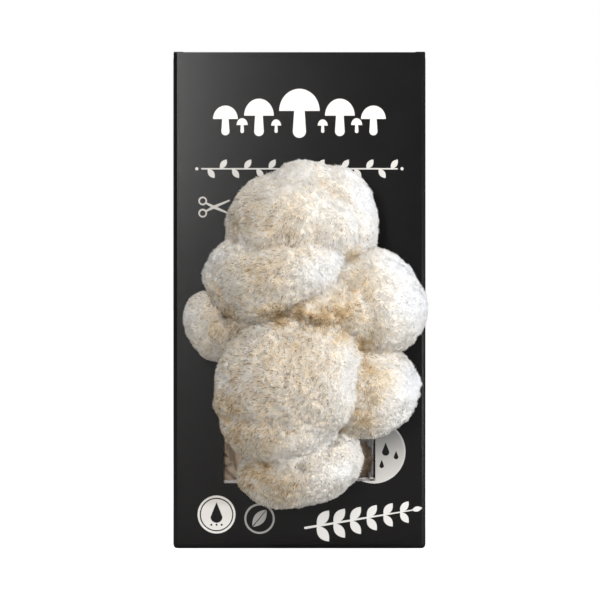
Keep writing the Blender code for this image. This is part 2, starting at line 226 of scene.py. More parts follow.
def new_group(name, values, results):
    """A node group: values are its inputs with their defaults, results its outputs."""
    group = bpy.data.node_groups.new(name, "ShaderNodeTree")
    for value_name, default in values.items():
        kind = "NodeSocketVector" if isinstance(default, tuple) else "NodeSocketFloat"
        socket = group.interface.new_socket(value_name, in_out="INPUT", socket_type=kind)
        socket.default_value = default
    for result in results:
        kind = "NodeSocketColor" if "colour" in result else "NodeSocketFloat"
        group.interface.new_socket(result, in_out="OUTPUT", socket_type=kind)
    source = group.nodes.new("NodeGroupInput")
    sink = group.nodes.new("NodeGroupOutput")
    return group, source.outputs, sink.inputs


def use_group(tree, group, **values):
    """Places a group in a material with its own values, and gives its first output."""
    placed = tree.nodes.new("ShaderNodeGroup")
    placed.node_tree = group
    for name, value in values.items():
        if isinstance(value, bpy.types.NodeSocket):
            tree.links.new(value, placed.inputs[name])
        else:
            placed.inputs[name].default_value = value
    return placed.outputs[0]


def flat_offset(tree, place, centre):
    """How far a place is from a centre, across and up the front, with the depth left out."""
    return vector_calc(tree, "MULTIPLY", vector_calc(tree, "SUBTRACT", place, centre), (1, 0, 1))


def inked(tree, past):
    """Full ink inside an outline and none past it, with a narrow soft edge."""
    return remap(tree, past, INK_EDGE, -INK_EDGE)


def follow_line(tree, given, clamped):
    """How far along its line a place lies, from 0 to 1, and how far beside it."""
    away = flat_offset(tree, given["place"], given["start"])
    run = flat_offset(tree, given["end"], given["start"])
    share = calc(tree, "DIVIDE", dot(tree, away, run), dot(tree, run, run))
    if clamped:
        share = remap(tree, share, 0.0, 1.0)
    reached = put(tree, "VectorMath", {0: run, "Scale": share}, operation="SCALE").outputs[0]
    return share, length_of(tree, vector_calc(tree, "SUBTRACT", away, reached))


ink_disc, given, result = new_group(
    "ink_disc", {"place": (0, 0, 0), "centre": (0, 0, 0), "radius": 0.01}, ["mark"]
)
tree = ink_disc
distance = length_of(tree, flat_offset(tree, given["place"], given["centre"]))
past = calc(tree, "SUBTRACT", distance, given["radius"])
tree.links.new(inked(tree, past), result["mark"])

ink_ring, given, result = new_group(
    "ink_ring", {"place": (0, 0, 0), "centre": (0, 0, 0), "radius": 0.01, "line": 0.001}, ["mark"]
)
tree = ink_ring
distance = length_of(tree, flat_offset(tree, given["place"], given["centre"]))
off_line = calc(tree, "ABSOLUTE", calc(tree, "SUBTRACT", distance, given["radius"]))
past = calc(tree, "SUBTRACT", off_line, calc(tree, "MULTIPLY", given["line"], 0.5))
tree.links.new(inked(tree, past), result["mark"])

# A straight stroke with round ends, which may taper
ink_stroke, given, result = new_group(
    "ink_stroke",
    {"place": (0, 0, 0), "start": (0, 0, 0), "end": (0.01, 0, 0), "first": 0.001, "last": 0.001},
    ["mark"],
)
tree = ink_stroke
share, distance = follow_line(tree, given, True)
half_line = remap(tree, share, 0.0, 1.0, given["first"], given["last"])
past = calc(tree, "SUBTRACT", distance, calc(tree, "MULTIPLY", half_line, 0.5))
tree.links.new(inked(tree, past), result["mark"])

# A leaf with a pointed tip at each end of its midrib
ink_leaf, given, result = new_group(
    "ink_leaf", {"place": (0, 0, 0), "start": (0, 0, 0), "end": (0.01, 0, 0), "width": 0.003}, ["mark"]
)
tree = ink_leaf
share, distance = follow_line(tree, given, False)
arch = calc(tree, "MULTIPLY", share, calc(tree, "SUBTRACT", 1.0, share))
swelling = calc(tree, "MULTIPLY", arch, calc(tree, "MULTIPLY", given["width"], 2.0))
tree.links.new(inked(tree, calc(tree, "SUBTRACT", distance, swelling)), result["mark"])

# The upper half of an oval, as the cap of a mushroom
ink_dome, given, result = new_group(
    "ink_dome", {"place": (0, 0, 0), "centre": (0, 0, 0), "half_width": 0.01, "rise": 0.01}, ["mark"]
)
tree = ink_dome
away = flat_offset(tree, given["place"], given["centre"])
across, _, up = put(tree, "SeparateXYZ", {0: away}).outputs
scaled_up = calc(tree, "MULTIPLY", up, calc(tree, "DIVIDE", given["half_width"], given["rise"]))
flat = put(tree, "CombineXYZ", {0: across, 1: 0.0, 2: scaled_up}).outputs[0]
past = calc(tree, "SUBTRACT", length_of(tree, flat), given["half_width"])
above = remap(tree, up, -INK_EDGE, INK_EDGE)
tree.links.new(calc(tree, "MULTIPLY", inked(tree, past), above), result["mark"])


def disc(tree, place, centre, radius):
    return use_group(tree, ink_disc, place=place, centre=centre, radius=radius)


def ring(tree, place, centre, radius, line):
    return use_group(tree, ink_ring, place=place, centre=centre, radius=radius, line=line)


def stroke(tree, place, start, end, first, last):
    return use_group(tree, ink_stroke, place=place, start=start, end=end, first=first, last=last)


def leaf(tree, place, start, end, width):
    return use_group(tree, ink_leaf, place=place, start=start, end=end, width=width)


def drop(tree, place, x, z, size):
    """A drop of water: round below, and running to a point above."""
    return stroke(tree, place, (x, 0, z), (x, 0, z + size * 2.4), size * 2, 0.0002)


def overlay(tree, marks):
    """The marks together, as one mask."""
    together = marks[0]
    for mark in marks[1:]:
        together = calc(tree, "MAXIMUM", together, mark)
    return together


def print_small_mushrooms(tree, place):
    """A row of mushrooms across the top, the middle one largest, with small ones between."""
    marks = []
    base = 0.2115
    for x, width, height in (
        (-0.0375, 0.0125, 0.0130),
        (-0.0205, 0.0150, 0.0165),
        (0.0, 0.0205, 0.0215),
        (0.0205, 0.0150, 0.0165),
        (0.0375, 0.0125, 0.0130),
        (-0.0290, 0.0056, 0.0066),
        (-0.0118, 0.0050, 0.0060),
        (0.0118, 0.0050, 0.0060),
        (0.0290, 0.0056, 0.0066),
    ):
        rise = height * 0.52
        foot, gills = (x, 0, base), (x, 0, base + height - rise)
        stem = width * 0.26
        cap = use_group(tree, ink_dome, place=place, centre=gills, half_width=width / 2, rise=rise)
        marks += [cap, stroke(tree, place, foot, gills, stem * 1.25, stem)]
    return marks


def print_vine(tree, place):
    """A thin stem across the front under the mushrooms, with leaves up and down by turns."""
    height, half_length, leaves = 0.1925, 0.0495, 16
    marks = [stroke(tree, place, (-half_length, 0, height), (half_length, 0, height), 0.0007, 0.0007)]
    for number in range(leaves):
        x = -half_length + 2 * half_length * (number + 0.5) / leaves
        turned = 1 if number % 2 else -1
        tip = (x + 0.0034, 0, height + turned * 0.0047)
        marks.append(leaf(tree, place, (x, 0, height), tip, 0.0030))
    for x in (-half_length - 0.0025, half_length + 0.0025):
        marks.append(disc(tree, place, (x, 0, height), 0.0008))
    return marks


def print_shears(tree, place):
    """Shears at the corner of the window."""
    marks = []
    x, z, line = -0.0434, 0.1731, 0.0015
    pivot = (x, 0, z)
    for turned in (-1, 1):
        marks.append(ring(tree, place, (x - 0.0056, 0, z + turned * 0.0031), 0.0018, 0.0008))
        marks.append(stroke(tree, place, (x - 0.0038, 0, z + turned * 0.0020), pivot, 0.0009, line))
        marks.append(stroke(tree, place, pivot, (x + 0.0078, 0, z - turned * 0.0033), line, 0.0008))
    return marks


def print_sprig(tree, place):
    """A leafy sprig at the lower right, bold and white."""
    root, top = Vector((0.0030, 0, 0.0105)), Vector((0.0570, 0, 0.0195))
    marks = [stroke(tree, place, root, top, 0.0012, 0.0006)]
    pairs = 6
    for number in range(pairs):
        joint = root.lerp(top, (number + 0.7) / (pairs + 0.4))
        size = 0.0098 - 0.0006 * number
        for turned in (-1, 1):
            tip = joint + Vector((size * 0.62, 0, turned * size * 0.80))
            marks.append(leaf(tree, place, joint, tip, size * 0.52))
    marks.append(leaf(tree, place, top, top + Vector((0.0052, 0, 0.0012)), 0.0026))
    return marks


def print_front(tree, place, board):
    """Lays every printed mark over the colour of the board, back to front."""
    white = print_small_mushrooms(tree, place) + print_sprig(tree, place)
    coloured = tint(tree, overlay(tree, white), board, INK_WHITE)
    pale = print_vine(tree, place) + print_shears(tree, place)
    coloured = tint(tree, overlay(tree, pale), coloured, INK_PALE)

    # The pale disc, half of which went with the window; it darkens towards its top
    middle, radius, rim_line = (0.0377, 0, 0.0491), 0.01605, 0.0008
    slant = dot(tree, flat_offset(tree, place, middle), (0.25, 0, -0.97))
    silver = tint(tree, remap(tree, slant, -0.0085, radius), SILVER_DARK, SILVER_LIGHT)
    coloured = tint(tree, disc(tree, place, middle, radius), coloured, silver)
    rim = ring(tree, place, middle, radius - rim_line / 2, rim_line)
    coloured = tint(tree, calc(tree, "MULTIPLY", rim, 0.30), coloured, SILVER_RIM)
    dark = []
    for x, z, size in ((0.0437, 0.0490, 0.0019), (0.0490, 0.0465, 0.0012), (0.0417, 0.0420, 0.0012)):
        dark.append(drop(tree, place, x, z, size))
    coloured = tint(tree, overlay(tree, dark), coloured, COATING)

    # Two badges at the lower left: a white one with a drop and a grey one with a leaf
    x, z = -0.0420, 0.0173
    coloured = tint(tree, disc(tree, place, (x, 0, z), 0.0096), coloured, INK_WHITE)
    dark = [ring(tree, place, (x, 0, z), 0.0082, 0.0006), drop(tree, place, x, z - 0.0012, 0.0030)]
    for aside in (-0.0026, 0.0, 0.0026):
        dark.append(disc(tree, place, (x + aside, 0, z - 0.0052), 0.0005))
    coloured = tint(tree, overlay(tree, dark), coloured, COATING)

    x, z = -0.0202, 0.0152
    stalk, tip = (x - 0.0036, 0, z - 0.0042), (x + 0.0036, 0, z + 0.0046)
    pale = [ring(tree, place, (x, 0, z), 0.0072, 0.0010), leaf(tree, place, stalk, tip, 0.0056)]
    coloured = tint(tree, overlay(tree, pale), coloured, INK_GREY)
    return tint(tree, stroke(tree, place, stalk, tip, 0.0005, 0.0003), coloured, COATING)


# The grain of coated board: a faint fibre relief and slight changes of gloss
board_grain, given, result = new_group("board_grain", {"place": (0, 0, 0)}, ["relief", "gloss"])
tree = board_grain
fibre = noise(tree, given["place"], 1800.0, 3.0)
waves = noise(tree, given["place"], 60.0)
tree.links.new(calc(tree, "MULTIPLY_ADD", waves, 0.5, fibre), result["relief"])
tree.links.new(remap(tree, calc(tree, "ADD", fibre, waves), 0.6, 1.4), result["gloss"])

# The cut edge of fluted board: two liners with the wave of the flute between them. Depth is
# how far a place lies behind the outer liner, and along is its distance along the edge.
cut_edge, given, result = new_group("cut_edge", {"depth": 0.0, "along": 0.0}, ["colour"])
tree = cut_edge
swing = calc(tree, "SINE", calc(tree, "MULTIPLY", given["along"], 2 * math.pi / FLUTE_PITCH))
flute = calc(tree, "MULTIPLY_ADD", swing, BOARD * 0.34, BOARD * 0.5)
off_flute = calc(tree, "ABSOLUTE", calc(tree, "SUBTRACT", given["depth"], flute))
on_flute = remap(tree, off_flute, 0.00022, 0.00012)
off_middle = calc(tree, "ABSOLUTE", calc(tree, "SUBTRACT", given["depth"], BOARD * 0.5))
on_liner = remap(tree, off_middle, BOARD * 0.36, BOARD * 0.42)
paper = calc(tree, "MAXIMUM", on_flute, on_liner)
# Between the papers the open hollows are painted dark brown, as painted shade
tree.links.new(tint(tree, paper, FLUTE_HOLLOW_SHADE, KRAFT_LIGHT), result["colour"])


def finish_board(tree, shader, place, skin, printed, edge):
    """Board: coated and printed where it is skin, fluted at its cut edges, kraft inside."""
    grain = tree.nodes.new("ShaderNodeGroup")
    grain.node_tree = board_grain
    tree.links.new(place, grain.inputs["place"])
    speck = noise(tree, place, 900.0, 4.0)
    brown = tint(tree, remap(tree, speck, 0.35, 0.65), KRAFT, KRAFT_LIGHT)
    brown = tint(tree, edge[0], brown, edge[1])
    tree.links.new(tint(tree, skin, brown, printed), shader.inputs["Base Color"])
    satin = remap(tree, grain.outputs["gloss"], 0.0, 1.0, 0.195, 0.235)
    rough = calc(tree, "MULTIPLY_ADD", calc(tree, "SUBTRACT", 1.0, skin), 0.5, satin)
    tree.links.new(rough, shader.inputs["Roughness"])
    raise_relief(tree, shader, grain.outputs["relief"], 0.10, 0.00012)


carton_finish, tree, shader = new_finish("printed_carton_board", Specular_IOR_Level=0.21)
coordinates = put(tree, "TexCoord")
place = coordinates.outputs["Object"]
# How deep a place lies under the folded skin, as a box with round edges and no top
core_middle = (0, 0, 0.150)
core_half = Vector((SIDE - SKIN_ROUND, BACK - SKIN_ROUND, core_middle[2] - SKIN_ROUND))
from_core = vector_calc(tree, "ABSOLUTE", vector_calc(tree, "SUBTRACT", place, core_middle))
from_core = vector_calc(tree, "SUBTRACT", from_core, core_half)
outside_core = vector_calc(tree, "MAXIMUM", from_core, (0, 0, 0))
reach_x, reach_y, reach_z = put(tree, "SeparateXYZ", {0: from_core}).outputs
farthest = calc(tree, "MAXIMUM", calc(tree, "MAXIMUM", reach_x, reach_y), reach_z)
inside_core = calc(tree, "MINIMUM", farthest, 0.0)
depth = calc(tree, "SUBTRACT", SKIN_ROUND, calc(tree, "ADD", length_of(tree, outside_core), inside_core))
skin = remap(tree, depth, SKIN_DEPTH * 1.2, SKIN_DEPTH)
x, y, z = put(tree, "SeparateXYZ", {0: place}).outputs
_, _, facing_up = put(tree, "SeparateXYZ", {0: coordinates.outputs["Normal"]}).outputs
# The dust flaps show their coated side upwards
on_flap = remap(tree, z, WALL_TOP - 0.0004, WALL_TOP - 0.0002)
on_flap = calc(tree, "MULTIPLY", remap(tree, facing_up, 0.4, 0.6), on_flap)
on_flap = calc(tree, "MULTIPLY", on_flap, remap(tree, y, FRONT + BOARD - 0.0001, FRONT + BOARD))
skin = calc(tree, "MAXIMUM", skin, on_flap)
on_front = remap(tree, y, FRONT + 0.0002, FRONT + 0.0001)
printed = tint(tree, on_front, COATING, print_front(tree, place, COATING))
in_board = remap(tree, depth, BOARD - 0.0001, BOARD - 0.0002)
edge_colour = use_group(tree, cut_edge, depth=depth, along=calc(tree, "ADD", x, y))
finish_board(tree, shader, place, skin, printed, (in_board, edge_colour))
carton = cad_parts["carton"]
carton.data.materials.clear()
carton.data.materials.append(carton_finish)

# The lid: the closure panel of the same blank. It turns on its crease at the back, and its
# tuck flap slides in behind the front wall, between the two slit locks at the corners.
lid_finish, tree, shader = new_finish("printed_lid_board", Specular_IOR_Level=0.21)
coordinates = put(tree, "TexCoord")
place = coordinates.outputs["Object"]
x, y, z = put(tree, "SeparateXYZ", {0: place}).outputs
facing_x, facing_y, facing_up = put(tree, "SeparateXYZ", {0: coordinates.outputs["Normal"]}).outputs
upward = remap(tree, facing_up, 0.2, 0.3)
forward = calc(tree, "MULTIPLY", remap(tree, facing_y, -0.2, -0.3), remap(tree, facing_up, -0.3, -0.2))
creased = remap(tree, y, BACK - BOARD * 0.6, BACK - BOARD * 0.5)
skin = calc(tree, "MAXIMUM", calc(tree, "MAXIMUM", upward, forward), creased)
sideways = remap(tree, calc(tree, "ABSOLUTE", facing_x), 0.8, 0.9)
skin = calc(tree, "MULTIPLY", skin, calc(tree, "SUBTRACT", 1.0, sideways))
lid_depth = calc(tree, "SUBTRACT", CARTON_HEIGHT, z)
edge_colour = use_group(tree, cut_edge, depth=lid_depth, along=y)
finish_board(tree, shader, place, skin, COATING, (sideways, edge_colour))
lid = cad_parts["carton_lid"]
lid.data.materials.clear()
lid.data.materials.append(lid_finish)

# The substrate: moist sawdust pressed into a block in its bag, brown where it is bare and cream
# where the threads of the fungus have grown through it. Its faces are rough with chips.
SAWDUST = (0.50, 0.35, 0.22, 1)
SAWDUST_DARK = (0.19, 0.125, 0.075, 1)
THREADS = (0.60, 0.48, 0.36, 1)


def copy_of_node(name, node):
    """A merged copy of a CAD solid, to be worked into a finished piece."""
    deselect_everything()
    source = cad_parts[node]
    piece = bpy.data.objects.new(name, source.data.copy())
    bpy.context.scene.collection.objects.link(piece)
    piece.data.materials.clear()
    bpy.context.view_layer.objects.active = piece
    piece.select_set(True)
    bpy.ops.object.mode_set(mode="EDIT")
    bpy.ops.mesh.select_all(action="SELECT")
    bpy.ops.mesh.remove_doubles(threshold=0.00001)
    bpy.ops.object.mode_set(mode="OBJECT")
    return piece


def apply_modifier(piece, kind, **settings):
    """Adds a modifier, sets it and applies it."""
    bpy.context.view_layer.objects.active = piece
    modifier = piece.modifiers.new(kind.lower(), kind)
    for setting, value in settings.items():
        setattr(modifier, setting, value)
    bpy.ops.object.modifier_apply(modifier=modifier.name)


def clouds(name, size, depth=2):
    texture = bpy.data.textures.new(name, "CLOUDS")
    texture.noise_scale = size
    texture.noise_depth = depth
    return texture


block = copy_of_node("sawdust_block", "substrate_block")
apply_modifier(block, "REMESH", mode="VOXEL", voxel_size=0.0018)
apply_modifier(block, "SMOOTH", factor=0.5, iterations=4)
apply_modifier(block, "DISPLACE", texture=clouds("chip_relief", 0.004), strength=0.0012, mid_level=0.9)
bpy.ops.object.shade_smooth()
block_finish, tree, shader = new_finish("sawdust_with_threads", Roughness=0.9)
place = put(tree, "TexCoord").outputs["Object"]
chips = put(tree, "TexVoronoi", {"Vector": place, "Scale": 650.0}, feature="F1")
chip_tone = put(tree, "SeparateXYZ", {0: chips.outputs["Color"]}).outputs[0]
brown = tint(tree, chip_tone, SAWDUST_DARK, SAWDUST)
patches = noise(tree, place, 70.0, 5.0)
x, y, z = put(tree, "SeparateXYZ", {0: place}).outputs
# The threads are densest on the left, and the lower right is nearly bare
lean = remap(tree, x, -0.030, 0.040, 0.22, -0.20)
grown = remap(tree, calc(tree, "ADD", patches, lean), 0.47, 0.58)
tree.links.new(tint(tree, grown, brown, THREADS), shader.inputs["Base Color"])
raise_relief(tree, shader, calc(tree, "MULTIPLY", chips.outputs["Distance"], 0.6), 0.5, 0.0006)
block.data.materials.append(block_finish)
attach(block, "kit")
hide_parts("substrate_block")

# The bag: thin clear film round the block. It creases where the window lets it swell, and
# above the block it is gathered to a flat seam. The mushroom grows through a slit in it.
WINDOW_HALF = 0.0385
WINDOW_BOTTOM = 0.0331
WINDOW_SLANT = 0.0013
WINDOW_TOP = 0.152
# Above this height the mushroom hides the film
SEEN_TOP = 0.075
GATHER_START = 0.203
GATHER_END = 0.243
BLOCK_MIDDLE = (0, 0, 0.11)
FILM_GREY = (0.085, 0.082, 0.083, 1)
FILM_FOLD_SHADE = (0.125, 0.082, 0.050, 1)
FILM_GLINT = (0.72, 0.71, 0.70, 1)
FILM_PALE = (0.130, 0.124, 0.122, 1)
# At the lower right the film lies on the block over a patch; its middle, and one over its radii
PATCH_MIDDLE = (0.0325, -0.0615, 0.0445)
PATCH_SCALE = (240.0, 0.0, 105.0)
# Creases pulled in by the mushroom: both ends across and up the front, half width and depth
PULLED_CREASES = (
    (-0.0378, 0.0420, -0.0344, 0.0430, 0.00085, 0.0008),
    (-0.0372, 0.0400, -0.0320, 0.0345, 0.00100, 0.0009),
    (-0.0384, 0.0480, -0.0362, 0.0462, 0.00070, 0.0006),
    (-0.0350, 0.0530, -0.0344, 0.0450, 0.00170, 0.0008),
    (-0.0372, 0.0600, -0.0368, 0.0505, 0.00060, 0.0005),
    (-0.0338, 0.0480, -0.0322, 0.0400, 0.00090, 0.0006),
    (0.0340, 0.0352, 0.0385, 0.0372, 0.00040, 0.0005),
    (0.0352, 0.0470, 0.0385, 0.0440, 0.00045, 0.0006),
    (0.0300, 0.0372, 0.0340, 0.0356, 0.00045, 0.0005),
    (0.0345, 0.0620, 0.0384, 0.0590, 0.00045, 0.0006),
)


def drift(places, size, seed):
    """Smooth random values from -1 to 1, which change over about one size in space.

    Each seed gives another pattern.
    """
    grid = places / size + 1000
    cell = np.floor(grid).astype(np.int64)
    part = grid - cell
    part = part * part * (3 - 2 * part)
    total = np.zeros(len(places))
    for step in np.ndindex(2, 2, 2):
        spot = cell + np.array(step)
        mixed = spot @ np.array([73856093, 19349663, 83492791]) + seed * 2654435761
        mixed = (mixed ^ (mixed >> 13)) * 1274126177 & 0x7FFFFFFF
        value = (mixed ^ (mixed >> 15)) % 65536 / 32768 - 1
        total += value * np.where(step, part, 1 - part).prod(1)
    return total


def drift_vector(places, size, seed):
    return np.stack([drift(places, size, seed + axis) for axis in range(3)], 1)


def read_vectors(mesh, kind):
    """The places or the normals of a mesh's vertices."""
    values = np.empty(len(mesh.vertices) * 3)
    mesh.vertices.foreach_get(kind, values)
    return values.reshape(-1, 3)


def move_to(mesh, places):
    mesh.vertices.foreach_set("co", places.astype(np.float32).ravel())
    mesh.update()


def distance_to_line(spots, x_1, z_1, x_2, z_2):
    """How far spots on the front lie from the line between two places on it."""
    run = np.array([x_2 - x_1, z_2 - z_1])
    away = spots - np.array([x_1, z_1])
    share = np.clip(away @ run / (run @ run), 0, 1)
    return np.linalg.norm(away - share[:, None] * run, axis=1)


def store_values(mesh, name, values):
    stored = mesh.attributes.new(name, "FLOAT", "POINT")
    stored.data.foreach_set("value", values.astype(np.float32))


def split_long_edges(shape, longest, wanted):
    """Halves the wanted edges until none of them is longer than the given length."""
    for _ in range(9):
        long_edges = [edge for edge in shape.edges if edge.calc_length() > longest and wanted(edge)]
        if not long_edges:
            break
        bmesh.ops.subdivide_edges(shape, edges=long_edges, cuts=1, use_grid_fill=True)
        bmesh.ops.triangulate(shape, faces=[face for face in shape.faces if len(face.verts) > 4])


def in_window(edge):
    middle = (edge.verts[0].co + edge.verts[1].co) / 2
    beside = abs(middle.x) < WINDOW_HALF + 0.002
    return beside and middle.y < FRONT + 0.006 and WINDOW_BOTTOM - 0.002 < middle.z < SEEN_TOP


bag = copy_of_node("film_bag", "grow_bag")
bag_shape = bmesh.new()
bag_shape.from_mesh(bag.data)
# Of the solid's two walls the outer one is kept: an inner wall faces the middle of the block
middle = Vector(BLOCK_MIDDLE)
inner = [face for face in bag_shape.faces if face.normal.dot(face.calc_center_median() - middle) < 0]
bmesh.ops.delete(bag_shape, geom=inner, context="FACES")
split_long_edges(bag_shape, 0.005, lambda edge: True)
split_long_edges(bag_shape, 0.0009, in_window)
bag_shape.to_mesh(bag.data)
bag_shape.free()
places = read_vectors(bag.data, "co")
outward = read_vectors(bag.data, "normal")
in_sight = (np.abs(places[:, 0]) < WINDOW_HALF + 0.001) & (places[:, 1] < FRONT + 0.004)
in_sight &= (places[:, 2] > WINDOW_BOTTOM) & (places[:, 2] < WINDOW_TOP)
crease_shade = np.zeros(len(places))
depth = np.zeros(len(places))
spots = places[:, [0, 2]]
spots[:, 1] += 0.0006 * drift(places, 0.003, 81)
for *line_ends, half_width, deep in PULLED_CREASES:
    line = np.exp(-((distance_to_line(spots, *line_ends) / half_width) ** 2))
    crease_shade = np.maximum(crease_shade, line)
    depth = np.maximum(depth, line * deep)
ridge = (1 - np.abs(drift(places * np.array([1.0, 1.0, 0.45]), 0.0045, 85))) ** 3
push = np.where(in_sight, 0.0004 * ridge - depth, 0.0)
# Above the block the film hangs in upright gathers
height = places[:, 2]
gathered = np.clip((height - GATHER_START) / 0.010, 0, 1) * np.clip((GATHER_END - height) / 0.010, 0, 1)
pleat = (1 - np.abs(drift(places * np.array([1.0, 0.5, 0.12]), 0.0045, 91))) ** 2 - 0.4
push += gathered * pleat * 0.0016
move_to(bag.data, places + outward * push[:, None])
# The crease mask carries the painted shade in the film's folds
store_values(bag.data, "crease_shade", np.where(in_sight, crease_shade, 0.0))
bag_finish, tree, shader = new_finish("clear_film", Roughness=0.50, IOR=1.45)
place = put(tree, "TexCoord").outputs["Object"]
x, y, z = put(tree, "SeparateXYZ", {0: place}).outputs
creased = put(tree, "Attribute", attribute_name="crease_shade").outputs["Fac"]
haze = noise(tree, place, 190.0, 5.0, Roughness=0.65)
# Where the film touches the wet block it clears; elsewhere it looks grey
left_side = remap(tree, x, 0.0, -0.010)
from_patch = vector_calc(tree, "SUBTRACT", place, PATCH_MIDDLE)
from_patch = length_of(tree, vector_calc(tree, "MULTIPLY", from_patch, PATCH_SCALE))
in_patch = calc(tree, "SUBTRACT", calc(tree, "MULTIPLY_ADD", haze, 1.6, 0.2), from_patch)
touching = calc(tree, "MAXIMUM", left_side, remap(tree, in_patch, -0.04, 0.04))
film_tone = tint(tree, remap(tree, haze, 0.38, 0.62), FILM_GREY, FILM_PALE)
# The pulled creases are painted dark brown and more opaque, as painted shade in the folds
fold_shaded_tone = tint(tree, remap(tree, creased, 0.1, 1.0), film_tone, FILM_FOLD_SHADE)
# Along the slanting sill a pale band is painted on the film, as a painted highlight
sill = calc(tree, "MULTIPLY_ADD", x, WINDOW_SLANT / (2 * WINDOW_HALF), WINDOW_BOTTOM + WINDOW_SLANT / 2)
glint_edge = calc(tree, "MULTIPLY_ADD", haze, 0.0026, sill)
sill_glint = remap(tree, calc(tree, "SUBTRACT", z, glint_edge), 0.0004, 0.0)
sill_glint = calc(tree, "MULTIPLY", sill_glint, remap(tree, z, WINDOW_BOTTOM - 0.004, WINDOW_BOTTOM - 0.003))
tree.links.new(tint(tree, sill_glint, fold_shaded_tone, FILM_GLINT), shader.inputs["Base Color"])
cover = remap(tree, touching, 0.0, 1.0, 0.88, 0.10)
cover = calc(tree, "MAXIMUM", cover, remap(tree, creased, 0.05, 1.0, 0.0, 0.80))
cover = calc(tree, "MAXIMUM", cover, calc(tree, "MULTIPLY", sill_glint, 0.85))
tree.links.new(cover, shader.inputs["Alpha"])
raise_relief(tree, shader, noise(tree, place, 420.0, 3.0, Distortion=1.5), 0.35, 0.0006)
bag.data.materials.append(bag_finish)
deselect_everything()
bag.select_set(True)
bpy.context.view_layer.objects.active = bag
bpy.ops.object.shade_smooth()
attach(bag, "kit")
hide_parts("grow_bag")

# The mushroom's flesh: rounded lobes grown together, cream, tan in the hollows between them, partly as
# painted shade.
# Each lobe is a ball stretched to its half sizes; together they are fused and smoothed. It
# grows out of the block through an oval neck.
NECK_HEIGHT = 0.104
NECK_HALF_WIDTH = 0.026
NECK_HALF_HEIGHT = 0.043
# Each lobe's middle, half sizes and turn in degrees as seen from the front, and its staining, which also
# sets its painted crease shade
LOBES = {
    "crown": ((-0.0012, -0.0910, 0.1595), (0.0350, 0.0315, 0.0370), 22, 0.25),
    "crown_front": ((-0.0050, -0.0970, 0.1620), (0.0300, 0.0325, 0.0282), 8, 0.10),
    "crown_right": ((0.0130, -0.0970, 0.1590), (0.0205, 0.0295, 0.0190), 20, 0.10),
    "crown_back": ((0.0150, -0.0870, 0.1660), (0.0242, 0.0285, 0.0272), 0, 0.10),
    "crown_foot": ((0.0270, -0.0870, 0.1580), (0.0120, 0.0275, 0.0140), 0, 0.10),
    "shoulder": ((-0.0095, -0.1040, 0.1372), (0.0350, 0.0320, 0.0212), -22, 0.20),
    "shoulder_bud": ((-0.0265, -0.0990, 0.1375), (0.0212, 0.0265, 0.0198), -10, 0.10),
    "left_ear": ((-0.0425, -0.0810, 0.1125), (0.0150, 0.0190, 0.0190), -28, 0.10),
    "ear_bridge": ((-0.0300, -0.0860, 0.1130), (0.0210, 0.0225, 0.0195), 0, 0.15),
    "heart": ((-0.0055, -0.1080, 0.0855), (0.0368, 0.0350, 0.0325), 0, 0.20),
    "heart_right": ((0.0070, -0.1062, 0.0885), (0.0250, 0.0345, 0.0280), 0, 0.20),
    "heart_left": ((-0.0260, -0.1040, 0.0790), (0.0165, 0.0280, 0.0175), 0, 0.05),
    "heart_skirt": ((-0.0098, -0.1030, 0.0672), (0.0293, 0.0320, 0.0225), 0, 0.10),
    "right_cheek": ((0.0345, -0.0960, 0.1255), (0.0305, 0.0310, 0.0268), 33, 0.30),
    "cheek_middle": ((0.0265, -0.0968, 0.1215), (0.0235, 0.0312, 0.0240), 33, 0.40),
    "cheek_inner": ((0.0158, -0.0985, 0.1192), (0.0272, 0.0330, 0.0238), 15, 0.50),
    "right_hip": ((0.0300, -0.0880, 0.0835), (0.0300, 0.0275, 0.0265), 18, 0.40),
    "foot": ((-0.0010, -0.0930, 0.0415), (0.0305, 0.0280, 0.0185), -8, 0.20),
    "foot_bud": ((0.0150, -0.0890, 0.0470), (0.0170, 0.0220, 0.0170), 0, 0.20),
    "core": ((-0.0020, -0.0780, 0.1080), (0.0360, 0.0240, 0.0660), 0, 0.80),
}
# Folds pressed into the lobes, and swellings where the depth is below 0: both ends across and
# up the front, half width and depth
FOLDS = (
    (-0.0378, 0.0702, -0.0242, 0.0672, 0.0030, 0.0025),
    (-0.0242, 0.0672, -0.0070, 0.0653, 0.0030, 0.0015),
    (-0.0418, 0.1396, -0.0339, 0.1200, 0.0055, 0.0065),
    (-0.0344, 0.1191, -0.0310, 0.1083, 0.0055, 0.0070),
    (0.0042, 0.1142, 0.0140, 0.1117, 0.0040, -0.0040),
    (-0.0173, 0.0462, 0.0003, 0.0442, 0.0030, 0.0035),
    (-0.0270, 0.1150, 0.0010, 0.1180, 0.0055, -0.0085),
    (-0.0364, 0.1555, -0.0183, 0.1550, 0.0045, -0.0030),
    (-0.0310, 0.1347, -0.0300, 0.1332, 0.0040, -0.0014),
    (0.0062, 0.1865, 0.0257, 0.1719, 0.0030, 0.0012),
)
